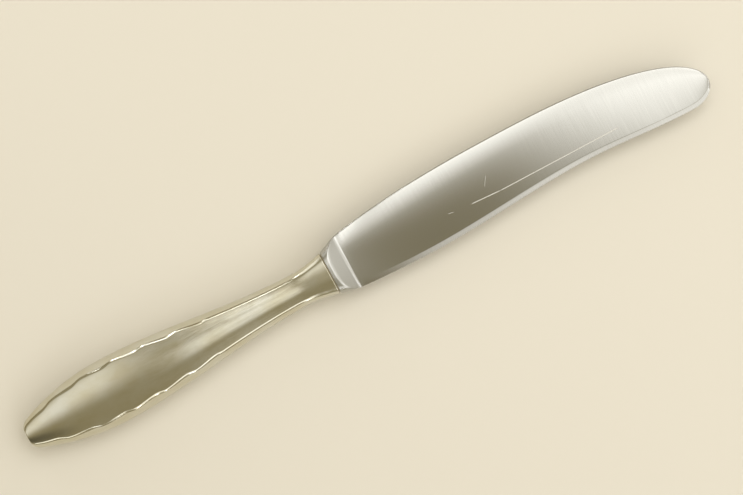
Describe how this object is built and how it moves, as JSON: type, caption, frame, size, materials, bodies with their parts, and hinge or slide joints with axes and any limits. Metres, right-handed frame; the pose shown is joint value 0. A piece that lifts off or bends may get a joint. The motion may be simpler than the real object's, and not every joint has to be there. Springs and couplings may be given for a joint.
{
  "type": "dessert knife",
  "caption": "Dessert knife with a hollow soldered handle that has a wavy ridge along its bevels, and a forged blade with a ground bolster, humped spine and round tip.",
  "frame": {"origin": "on the table below the middle of the knife's outline, as it lies on the back face of its handle", "axes": "+X along the handle's axis towards the tip, +Y towards the spine, +Z out of the front face"},
  "size_m": [0.2048, 0.0208, 0.0104],
  "materials": {
    "blade_steel": "satin",
    "handle_silver": "polished",
    "seam_silver": "polished",
    "cement": "matte"
  },
  "bodies": {
    "root": {"blade": "blade_steel", "handle_front": "handle_silver", "handle_back": "handle_silver", "seam_solder": "seam_silver", "handle_cement": "cement"}
  },
  "joints": []
}
